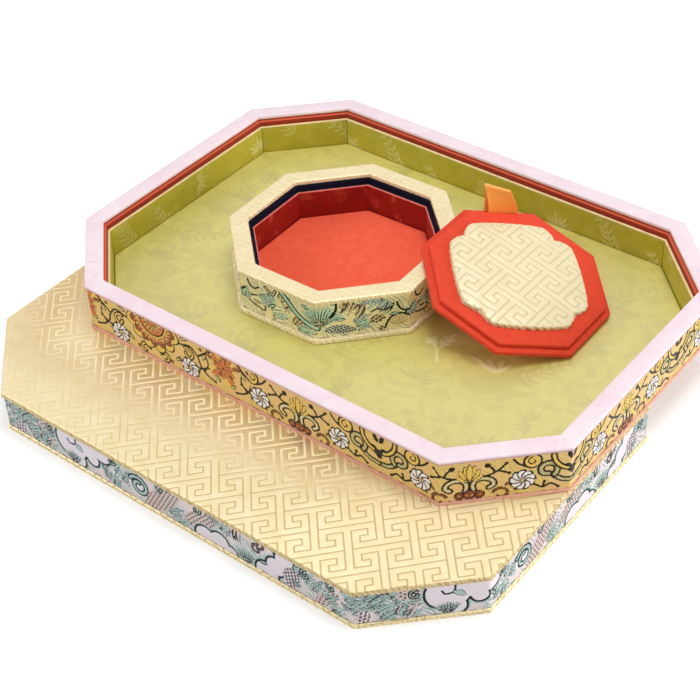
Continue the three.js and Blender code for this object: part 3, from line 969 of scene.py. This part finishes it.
def brocadeBand(outline, band, *draws):
    columns, rows, height, inset = band["columns"], band["rows"], band["height"], brocade["inset"]
    stations = columns * band["lengths"]
    side, share, u, around = perimeterStations(lambda d: outline(d + inset), stations)
    cloths = [draw(around / band["lengths"])["yarns"] for draw in draws]
    piece, along, across = ringGrid(stations, rows + 2)
    # which cloth each column is cut from, and from where on it
    kind, column = np.zeros(stations, int), np.arange(stations)
    for joint, cloth, *cutFrom in band["joints"]:
        past = u >= joint
        kind[past] = cloth
        if cutFrom:
            column[past] = np.rint((u[past] - joint + cutFrom[0]) / (around / stations))
    yarns = np.array(cloths)[kind, :, column % columns, :]
    # a dark, uneven line under the board above, painted shadow, and a dark red, uneven line along the foot, where the
    # band meets the board below
    edgeLine = 0.3 + 0.22 * np.sin(u / 1.7 + 2 * np.sin(u / 9)) + 0.15 * np.sin(u / 0.9)
    up = np.linspace(0, height, rows)
    yarns[:, 0] = np.minimum(yarns[:, 0], height - up - edgeLine[:, None])
    yarns[:, 3] = np.minimum(yarns[:, 3], up - edgeLine[:, None] * 0.8 + 0.1)
    yarns = np.concatenate([yarns, np.full((stations, 6, 2), 9.0)], 2)  # two more rows go round the back
    raised = np.clip(0.5 - yarns[:, 1:].min(1) / 0.5, 0, 1) - 0.6 * np.clip(0.5 - yarns[:, 0] / 0.4, 0, 1)
    depth = inset - raised * brocade["relief"]
    depth[:, rows:] = inset + brocade["thickness"]
    heights = np.concatenate([up, [height, 0]])
    xy = ringPoints(outline, side[along], share[along], depth[along, across])
    movePoints(piece, np.column_stack([xy, band["bottom"] + heights[across]]))
    keepValues(piece, "yarnsA", yarns[along, :3, across])
    keepValues(piece, "yarnsB", yarns[along, 3:, across])
    keepValues(piece, "along", np.column_stack([u[along], heights[across], 0 * u[along]]) * mm)
    evenOut(1e-4)
    return piece


# faint figures of the damasks: ferny fronds and fans of thin blades, on a half-drop repeat
damaskFigure = {
    "repeat": (66, 52),
    "blade": 1.5,
    "fronds": [([(8, 4), (13, 10), (16, 18), (22, 25)], 7.0), ([(40, 26), (46, 29), (54, 34), (58, 42)], 6.0)],
    "fans": [(44, 8, 15, 150, 9.0), (27, 40, 100, 170, 7.5)],
    "fanBlades": 8,
}


def sprigField(x, y, scale=1.0):
    px, py = damaskFigure["repeat"]
    x, y = x / scale, y / scale
    y = y + py / 2 * (np.floor(x / px) % 2)
    local = {"u": x % px, "v": y % py, "length": px}
    wide, blades = damaskFigure["blade"], damaskFigure["fanBlades"]
    parts = []
    for frond, length in damaskFigure["fronds"]:
        run = smoothRun(frond)
        parts.append(stroke(local, run, 0.35))
        for i, ((ua, va), (ub, vb)) in enumerate(zip(run[1::2], run[2::2])):
            along = np.degrees(np.arctan2(vb - va, ub - ua))
            for side in (-1, 1):
                parts.append(leaf(local, ua, va, along + side * 48, length * (1 - 0.07 * i), wide, side * 0.5))
    for u, v, start, sweep, length in damaskFigure["fans"]:
        for i in range(blades):
            a = start + sweep * i / (blades - 1)
            parts.append(leaf(local, *onRing(u, v, 1, a), a, length * (1 if i % 2 else 0.75), wide))
    return np.min(parts, axis=0) * scale


print("drawing tools ready")

# cover: top panel, rim and band; the pairs go from left to right
coverTop = {
    "reach": (143, 104), "stepA": (2.245, 2.507), "stepB": (2.245, -2.507), "start": (105.0, -62.5),
    "thickness": 2.4, "fold": 0.8, "top": things["coverHeight"],
    # painted light: litLines gives how far out from the tray the lines are painted bright
    "litLines": [(-140, 31), (-60, 29), (0, 26), (45, 20), (95, 8)],  # how far out from the tray the lines are bright
    "litLinesSoft": 1.6,
    "litLinesShare": [(45, 1), (95, 0)],
    "deepAlways": [(-125, 1), (-95, 0)],
    "deepGap": (8, 28),
    "deepShare": [(-110, 0.6), (0, 0.15)],
    "dull": [(50, 0), (100, 0.65)],
    "lines": [(-130, 0.42), (-60, 0.6), (0, 1), (70, 1.2)],
}
piece = fretSheet(coverTop)
flat = meshPoints(piece)[:, :2]
gap, _ = nearestOnOutline(flat, trayOutline(0) + (0, things["setBack"]))
# painted light: litLines marks lines painted bright near the tray, deep marks ground painted darker as the tray's
# reflection, lines fades the woven lines towards the left as painted glare
bright, litLinesShare, deepAlways, deepShare, dull, lines = [
    np.interp(flat[:, 0], *zip(*coverTop[key]))
    for key in ("litLines", "litLinesShare", "deepAlways", "deepShare", "dull", "lines")]
litLines = np.clip(coverTop["litLinesSoft"] - gap / bright, 0, 1) * litLinesShare
keepValues(piece, "litLines", litLines)
keepValues(piece, "deep", litLines * np.maximum(np.interp(gap, coverTop["deepGap"], (0, 1)), deepAlways) * deepShare)
keepValues(piece, "dull", dull)
keepValues(piece, "groove", keptValues(piece, "groove") * lines)
wrapBoard(piece, trayOutline, coverTop, fretLines["depth"])
setDown(piece, "cover_top_cloth", "cover", "cover_top_panel", fretCloth)
print("cover top", len(piece.data.polygons))

coverRim = {"thickness": 2, "top": 2, "fold": 0.7, "ringWidth": 8.7}
piece = wrapBoard(fretSheet(coverTop), trayOutline, coverRim, fretLines["depth"])
setDown(piece, "cover_rim_cloth", "cover", "cover_rim_frame", rimCloth)
print("cover rim", len(piece.data.polygons))

piece = brocadeBand(trayOutline, lilacBand, drawCloudCloth)
setDown(piece, "cover_brocade", "cover", "cover_brocade_band", lilacBrocade)
print("cover band", len(piece.data.polygons))

# tray: base, band, rim strips, neck, lining, piping and floor
trayBase = {"thickness": 1.2, "edgeRound": 0.4}
piece = cornerBoard(trayOutline(0), 0, trayBase["thickness"], trayBase["edgeRound"])
setDown(piece, "tray_base_cloth", "tray", "tray_base_board", salmonCloth)

piece = brocadeBand(trayOutline, goldBand, drawBloomCloth, drawLotusCloth)
setDown(piece, "tray_brocade", "tray", "tray_brocade_band", goldBrocade)
print("tray band", len(piece.data.polygons))


def mitredStrip(outline, side, width, gap):
    # the four corners of one strip, drawn in a little at both mitres
    a, b = outline(0), outline(width)
    after = (side + 1) % 8
    way = (a[after] - a[side]) / np.linalg.norm(a[after] - a[side]) * gap
    return np.array([a[side] + way, a[after] - way, b[after] - way, b[side] + way])


trayRim = {"width": 8.7, "bottom": 22.6, "top": 24.6, "edgeRound": 0.55, "mitreGap": 0.02,
           "mauveShadeIn": 1, "mauveShadeEnd": 0.5}
for side, sideName in enumerate(sideNames):
    corners = mitredStrip(trayOutline, side, trayRim["width"], trayRim["mitreGap"])
    piece = cornerBoard(corners, trayRim["bottom"], trayRim["top"])
    # only the long edges are rounded, so that the mitres close
    points = meshPoints(piece)
    selectFaces(piece, lambda face: False)
    bpy.ops.mesh.select_mode(type="EDGE")
    toMode("OBJECT")
    for edge in piece.data.edges:
        edge.select = bool(np.linalg.norm(np.diff(points[list(edge.vertices)], axis=0)) > 2 * trayRim["width"])
    toMode("EDIT")
    bpy.ops.mesh.bevel(offset=trayRim["edgeRound"], segments=3)
    toMode("OBJECT")
    # painted shade: the outer edge, where the cloth turns under, is painted mauve for the shade it lies in
    points = meshPoints(piece)
    along, reach = corners[1] - corners[0], points[:, :2] - corners[0]
    inward = np.abs(along[0] * reach[:, 1] - along[1] * reach[:, 0]) / np.linalg.norm(along)
    low, high = trayRim["bottom"] + trayRim["mauveShadeEnd"], trayRim["top"] - trayRim["mauveShadeEnd"]
    keepValues(piece, "turned", np.where(inward < trayRim["mauveShadeIn"], np.interp(points[:, 2], (low, high), (1, 0)), 0))
    setDown(piece, "tray_rim_cloth_" + sideName, "tray", "tray_rim_" + sideName, pinkDamask)

trayNeck = {"outer": 6.2, "inner": 10, "bottom": 1.2, "top": 22.0, "edgeRound": 0.5, "lip": (0.45, 0.1)}
piece = sweptRing(trayOutline, roundedSection(trayNeck))
# painted highlight: the neck's upper edge is painted paler, for the light it catches
lip = np.interp(meshPoints(piece)[:, 2], [trayNeck["top"] - d for d in trayNeck["lip"]], (0, 1))
keepValues(piece, "lip", lip)
setDown(piece, "tray_neck_cloth", "tray", "tray_neck", redCloth)

trayLining = {"outer": 10.15, "inner": 11.3, "bottom": 1.2, "top": 18.8, "edgeRound": 0.6, "cell": 0.6,
              "mitreGap": 0.15, "figureStep": (61, 11)}
for side, sideName in enumerate(sideNames):
    a, b = trayOutline(trayLining["inner"])[[side, (side + 1) % 8]]
    reach, rise = np.linalg.norm(b - a), trayLining["top"] - trayLining["bottom"]
    way = (b - a) / reach
    out = np.array([way[1], -way[0]])
    piece = flatGrid(reach / trayLining["cell"], rise / trayLining["cell"])
    points = meshPoints(piece)
    s = (points[:, 0] + 1) / 2 * (reach - 2 * trayLining["mitreGap"]) + trayLining["mitreGap"]
    h = (points[:, 1] + 1) / 2 * rise
    # the upper edge is rounded where the cloth turns over the board
    radius = trayLining["edgeRound"]
    crest = np.clip(h - rise + radius, 0, radius)
    back = radius - np.sqrt(np.maximum(radius ** 2 - crest ** 2, 0))
    movePoints(piece, np.column_stack([a + s[:, None] * way + back[:, None] * out, trayLining["bottom"] + h]))
    stepX, stepY = trayLining["figureStep"]
    keepValues(piece, "figure", sprigField(s + stepX * side, h + stepY * side))
    evenOut()
    selectFaces(piece, lambda face: True)
    if piece.data.polygons[0].normal.to_2d().dot(Vector(out)) > 0:
        bpy.ops.mesh.flip_normals()
    toMode("OBJECT")
    applyModifier(piece, "SOLIDIFY", thickness=trayLining["inner"] - trayLining["outer"] - radius, offset=-1)
    setDown(piece, "tray_lining_cloth_" + sideName, "tray", "tray_lining_" + sideName,
            oliveLining)

trayPiping = {"outer": 10.15, "inner": 11.3, "bottom": 18.8, "top": 19.4, "edgeRound": 0.28}
piece = sweptRing(trayOutline, roundedSection(trayPiping))
setDown(piece, "tray_piping", "tray", "tray_lining_piping", creamCloth)

trayFloor = {"half": (131, 92), "inset": 11.6, "thickness": 2.9, "top": 4.1, "fold": 0.5, "cell": 0.8,
             "figureStart": 400, "figureSize": 1.2, "faint": 0.0}
litSprigs = {
    "stems": [[(49.5, -30.6), (45, -24.5), (40.5, -21.5)], [(45, -24.5), (45.3, -17)]],
    "fans": [((40.5, -21.5), [(190, 4), (150, 5), (110, 6)]), ((43, -23), [(120, 6)]),
             ((45.2, -20), [(135, 5), (50, 4)]), ((45.3, -17), [(130, 5), (92, 7), (55, 5)]),
             ((76.3, -21.5), [(180, 10), (170, 17), (151, 10), (109, 8.5), (77, 8.5)])],
    "stemHalf": 0.35, "blade": 1.7, "soft": 0.5, "share": 0.9,
}
halfX, halfY = trayFloor["half"]
piece = flatGrid(2 * halfX / trayFloor["cell"], 2 * halfY / trayFloor["cell"])
movePoints(piece, meshPoints(piece) * (halfX, halfY, 1))
flat = meshPoints(piece)[:, :2]
field = sprigField(*(flat + trayFloor["figureStart"]).T, trayFloor["figureSize"])
keepValues(piece, "figure", np.maximum(field, trayFloor["faint"]))
# two sprigs look light in the lid's shade
here = {"u": flat[:, 0], "v": flat[:, 1], "length": 1000}
sprigs = [stroke(here, run, litSprigs["stemHalf"]) for run in litSprigs["stems"]]
for (u, v), blades in litSprigs["fans"]:
    sprigs += [leaf(here, u, v, angle, length, litSprigs["blade"]) for angle, length in blades]
keepValues(piece, "lit", np.clip(litSprigs["soft"] - np.min(sprigs, axis=0), 0, litSprigs["share"]))
wrapBoard(piece, lambda d: trayOutline(d + trayFloor["inset"]), trayFloor)
setDown(piece, "tray_floor_cloth", "tray", "tray_floor_panel", oliveDamask)
print("tray done")

# bangle box
boxBase = {"reach": (58, 58), "stepA": (2.38, 2.38), "stepB": (2.38, -2.38), "start": (0, 0),
           "lip": 0.8, "thickness": 2.2, "top": 2.2, "fold": 0.7}
piece = wrapBoard(fretSheet(boxBase), lambda d: boxOutline(d - boxBase["lip"]), boxBase, fretLines["depth"])
setDown(piece, "box_base_cloth", "bangle_box", "box_base_board", baseCloth)

piece = brocadeBand(boxOutline, limeBand, drawWaveCloth)
setDown(piece, "box_brocade", "bangle_box", "box_brocade_band", limeBrocade)

boxRim = {"reach": (57, 57), "stepA": (3.33, 0.4), "stepB": (0.3, -3.33), "start": (0, 0), "faint": 0.55,
          "thickness": 2, "top": 23.9, "fold": 0.7, "ringWidth": 8.8}
piece = fretSheet(boxRim)
keepValues(piece, "groove", keptValues(piece, "groove") * boxRim["faint"])
wrapBoard(piece, boxOutline, boxRim, fretLines["depth"])
setDown(piece, "box_rim_cloth", "bangle_box", "box_rim_frame", boxCloth)

boxNeck = {"outer": 6.2, "inner": 9.4, "bottom": 2.2, "top": 21.75, "edgeRound": 0.4, "ledge": 10.7, "ledgeTop": 18.6}
inner, ledge, ledgeTop = boxNeck["inner"], boxNeck["ledge"], boxNeck["ledgeTop"]
section = roundedSection(boxNeck)[:-1] + [(inner, ledgeTop), (ledge, ledgeTop), (ledge, boxNeck["bottom"])]
piece = sweptRing(boxOutline, section)
setDown(piece, "box_neck_cloth", "bangle_box", "box_neck", navyCloth)

boxLining = {"outer": 10.75, "inner": 11.4, "bottom": 2.2, "top": 18.3, "rows": 18, "stations": 320,
             "figureUp": 10, "figureSize": 0.7}
low, high = boxLining["bottom"], boxLining["top"]
section = [(boxLining["outer"], low), (boxLining["outer"], high)]
section += [(boxLining["inner"], z) for z in np.linspace(high, low, boxLining["rows"])]
piece = sweptRing(boxOutline, section, boxLining["stations"])
u, v, _ = keptValues(piece, "along").T / mm
keepValues(piece, "figure", sprigField(u, v + boxLining["figureUp"], boxLining["figureSize"]))
setDown(piece, "box_lining_cloth", "bangle_box", "box_lining", scarletSatin)

boxPiping = {"outer": 10.75, "inner": 11.4, "bottom": 18.3, "top": 18.9, "edgeRound": 0.25}
piece = sweptRing(boxOutline, roundedSection(boxPiping))
setDown(piece, "box_piping", "bangle_box", "box_lining_piping", coralCloth)

boxFloor = {"inset": 11.7, "bottom": 2.2, "top": 3.9, "edgeRound": 0.5}
piece = cornerBoard(boxOutline(boxFloor["inset"]), boxFloor["bottom"], boxFloor["top"], boxFloor["edgeRound"])
setDown(piece, "box_floor_cloth", "bangle_box", "box_floor_panel", scarletCloth)
print("box done")

# lid: two red plates, the padded blossom and the ribbon
lidPlates = {"flange": (things["lidAcross"], 0, 2.4), "plate": (80, 2.55, 4.8), "edgeRound": 0.7}
for plate in ("flange", "plate"):
    across, bottom, top = lidPlates[plate]
    piece = cornerBoard(octagon(across), bottom, top, lidPlates["edgeRound"])
    setDown(piece, "lid_" + plate + "_cloth", "box_lid", "lid_" + plate, lidCloth)

lidPad = {
    "notch": 29.9, "shoulder": 34, "shoulderRise": 8, "lobe": 32.3, "lobeRise": 13, "steps": 14,
    "base": 5.1, "foot": 4.9, "crown": 3.2, "edge": 2.0, "slope": 12, "fold": 0.9, "depth": 0.26,
    "gather": 0.34, "gathers": 56,
    "reach": (38, 38), "stepA": (3.365, 0.17), "stepB": (-0.08, -3.37), "start": (-3.1, 11.6),
}


def bezier(controls, steps):
    # the curve's points without its last one
    run = []
    for t in np.arange(steps) / steps:
        level = np.array(controls, float)
        while len(level) > 1:
            level = level[:-1] * (1 - t) + level[1:] * t
        run.append(tuple(level[0]))
    return run


def padOutline():
    # four lobes, each from notch to notch
    n, s, r, l, k, steps = [lidPad[key] for key in ("notch", "shoulder", "shoulderRise", "lobe", "lobeRise", "steps")]
    lobe = bezier([(n, 0), (s, 0), (s, r)], steps // 2) + bezier([(s, r), (l, k), (k, l), (r, s)], steps)
    turned = [np.array(lobe + bezier([(r, s), (0, s), (0, n)], steps // 2))]
    for _ in range(3):
        turned.append(turned[-1] @ np.array([[0, 1], [-1, 0]]))
    return np.concatenate(turned)


def drawnIn(corners, inset):
    way = np.roll(corners, -1, 0) - np.roll(corners, 1, 0)
    out = np.column_stack([way[:, 1], -way[:, 0]]) / np.linalg.norm(way, axis=1)[:, None]
    return corners - out * inset


piece = fretSheet(lidPad, fine=True)
edge = drawnIn(padOutline(), lidPad["fold"])
dropPast(piece, edge, False, lidPad["fold"] * pi / 2 + lidPad["edge"] - lidPad["fold"])
flat = meshPoints(piece)[:, :2]
gap, _ = nearestOnOutline(flat, edge)
deep = np.where(insideOutline(flat, edge), np.clip(gap / lidPad["slope"], 0, 1), 0)
keepValues(piece, "groove", keptValues(piece, "groove") * (deep > 0))
rise = lidPad["base"] + lidPad["edge"] + (lidPad["crown"] - lidPad["edge"]) * (1 - (1 - deep) ** 2)
foldOver(piece, [(edge, False)], lidPad["fold"], rise, lidPad["depth"])
# uneven gathers round the edge, strongest towards the front right
points = meshPoints(piece)
bearing = np.arctan2(points[:, 1], points[:, 0])
uneven = 0.36 + 0.64 * np.clip(np.cos(bearing + pi / 4), 0, 1) ** 2 * (0.6 + 0.4 * np.sin(9 * bearing + 2.1))
phase = lidPad["gathers"] * bearing + 1.7 * np.sin(5 * bearing) + 1.1 * np.sin(11 * bearing) + 1.4 * points[:, 2]
gather = lidPad["gather"] * uneven * np.sin(phase) * keptValues(piece, "turned")
points[:, :2] *= 1 + gather[:, None] / lidPad["shoulder"]
movePoints(piece, points)
closeUnderside(piece, lidPad["foot"])
setDown(piece, "lid_blossom_pad", "box_lid", "lid_fret_pad", padCloth)
print("pad", len(piece.data.polygons))

ribbon = {
    "width": 14.6, "height": 14.2, "loop": 1.2, "root": 1.1, "belly": 2.4, "cloth": 0.35,
    "bearing": 135, "radius": 41.6, "foot": 2.7, "lean": 14, "twist": 24, "pinch": 0.14,
    "sideways": (0.8, 4.9, -1.0), "sidewaysCurve": 1.7,  # at the back foot, the top and the front foot
    "legSteps": 9, "loopSteps": 12, "acrossSteps": 12,
}
middle, loop, belly = ribbon["height"] - ribbon["loop"], ribbon["loop"], ribbon["belly"]
leg = bezier([(ribbon["root"], 0), (belly, 0.35 * middle), (0.8 * belly, 0.7 * middle), (loop, middle)],
             ribbon["legSteps"])
path = leg + [onRing(0, middle, loop, 180 * i / ribbon["loopSteps"]) for i in range(ribbon["loopSteps"] + 1)]
path = np.array(path + [(-x, z) for x, z in reversed(leg)])
piece = flatGrid(len(path) - 1, ribbon["acrossSteps"])
points = meshPoints(piece)
index = np.rint((points[:, 0] + 1) / 2 * (len(path) - 1)).astype(int)
climb = path[:, 1] / ribbon["height"]
back, top, front = ribbon["sideways"]
root = np.where(np.arange(len(path)) < len(path) / 2, back, front)
sideways = root + (top - root) * climb ** ribbon["sidewaysCurve"]
steps = np.linalg.norm(np.diff(np.column_stack([path, sideways]), axis=0), axis=1)
lengths = np.concatenate([[0], np.cumsum(steps)])
across = points[:, 1] * ribbon["width"] / 2
laid = across * (1 - ribbon["pinch"] * climb[index] ** 2)
inner = path[index, 0] * (1 - ribbon["cloth"] / 2 / loop)
twist = radians(ribbon["twist"]) * climb[index]
movePoints(piece, np.column_stack([inner * np.cos(twist) + laid * np.sin(twist),
                                   laid * np.cos(twist) - inner * np.sin(twist) + sideways[index], path[index, 1]]))
keepValues(piece, "along", np.column_stack([across, lengths[index], np.zeros(len(across))]) * mm)
applyModifier(piece, "SOLIDIFY", thickness=ribbon["cloth"], offset=0)
evenOut()
piece.data.transform(Matrix.Rotation(radians(ribbon["bearing"]), 4, "Z")
                     @ Matrix.Translation((ribbon["radius"], 0, ribbon["foot"]))
                     @ Matrix.Rotation(radians(ribbon["lean"]), 4, "Y"))
setDown(piece, "lid_ribbon", "box_lid", "lid_ribbon_tab", ribbonSatin)
print("lid done, ribbon cut", round(float(lengths[-1]), 1))

# studio
studio = {
    "camera": (0.3666, -0.4394, 0.4849),
    "look": (-0.49392, 0.58774, -0.64078),
    "roll": -3.005,
    "lens": 80.66,
    "sensor": 36,
    "floor": 12,
    "glow": 0.28,
    "skyLight": 0.42,
    "aim": (0, 0, 0.03),
    "softBoxes": {"key": ((0.15, 0.06, 1.05), 0.45, 5.2), "fill": ((1.02, 0.42, 0.22), 0.4, 6.1),
                  "left": ((-0.85, -0.78, 0.62), 0.4, 4.4)},  # place, size and power
}
look = Vector(studio["look"]).normalized()
right = look.cross(Vector((0, 0, 1))).normalized()
up = right.cross(look)
roll = radians(studio["roll"])
right, up = cos(roll) * right + sin(roll) * up, cos(roll) * up - sin(roll) * right
camera = bpy.data.objects.new("camera", bpy.data.cameras.new("camera"))
bpy.context.scene.collection.objects.link(camera)
camera.data.lens = studio["lens"]
camera.data.sensor_width = studio["sensor"]
camera.matrix_world = Matrix.Translation(studio["camera"]) @ Matrix((right, up, -look)).transposed().to_4x4()
bpy.context.scene.camera = camera


def seenDirectly():
    # by the camera, in a mirror or through glass
    ray = addNode("ShaderNodeLightPath").outputs
    seen = combine("MAXIMUM", ray["Is Camera Ray"], ray["Is Glossy Ray"])
    return combine("MAXIMUM", seen, ray["Is Transmission Ray"])


def whitePaper(name):
    # white backdrop paper: matt, and a little brighter to the eye than what it throws back
    material = newMaterial(name)
    glow = combine("MULTIPLY", seenDirectly(), studio["glow"])
    return surface(material, {"Base Color": rgb("#F2F1F0"), "Roughness": 0.9, "Emission Color": (1, 1, 1, 1),
                              "Emission Strength": glow})


deselectAll()
bpy.ops.mesh.primitive_plane_add(size=studio["floor"])
floor = bpy.context.object
floor.name = "studio_floor"
floor.data.materials.append(whitePaper("white_paper"))

world = bpy.data.worlds.new("studio")
bpy.context.scene.world = world
workOn(world)
level = remap(seenDirectly(), toLow=studio["skyLight"])
sky = addNode("ShaderNodeBackground", {"Color": (1, 1, 1, 1), "Strength": level})
addNode("ShaderNodeOutputWorld", {"Surface": sky.outputs[0]})

for name, (place, size, power) in studio["softBoxes"].items():
    lamp = bpy.data.lights.new(name, "AREA")
    lamp.shape, lamp.size, lamp.energy = "SQUARE", size, power
    softBox = bpy.data.objects.new(name, lamp)
    bpy.context.scene.collection.objects.link(softBox)
    softBox.location = place
    softBox.rotation_euler = (Vector(studio["aim"]) - Vector(place)).to_track_quat("-Z", "Y").to_euler()
bpy.context.scene.view_settings.view_transform = "Standard"
print("studio ready")
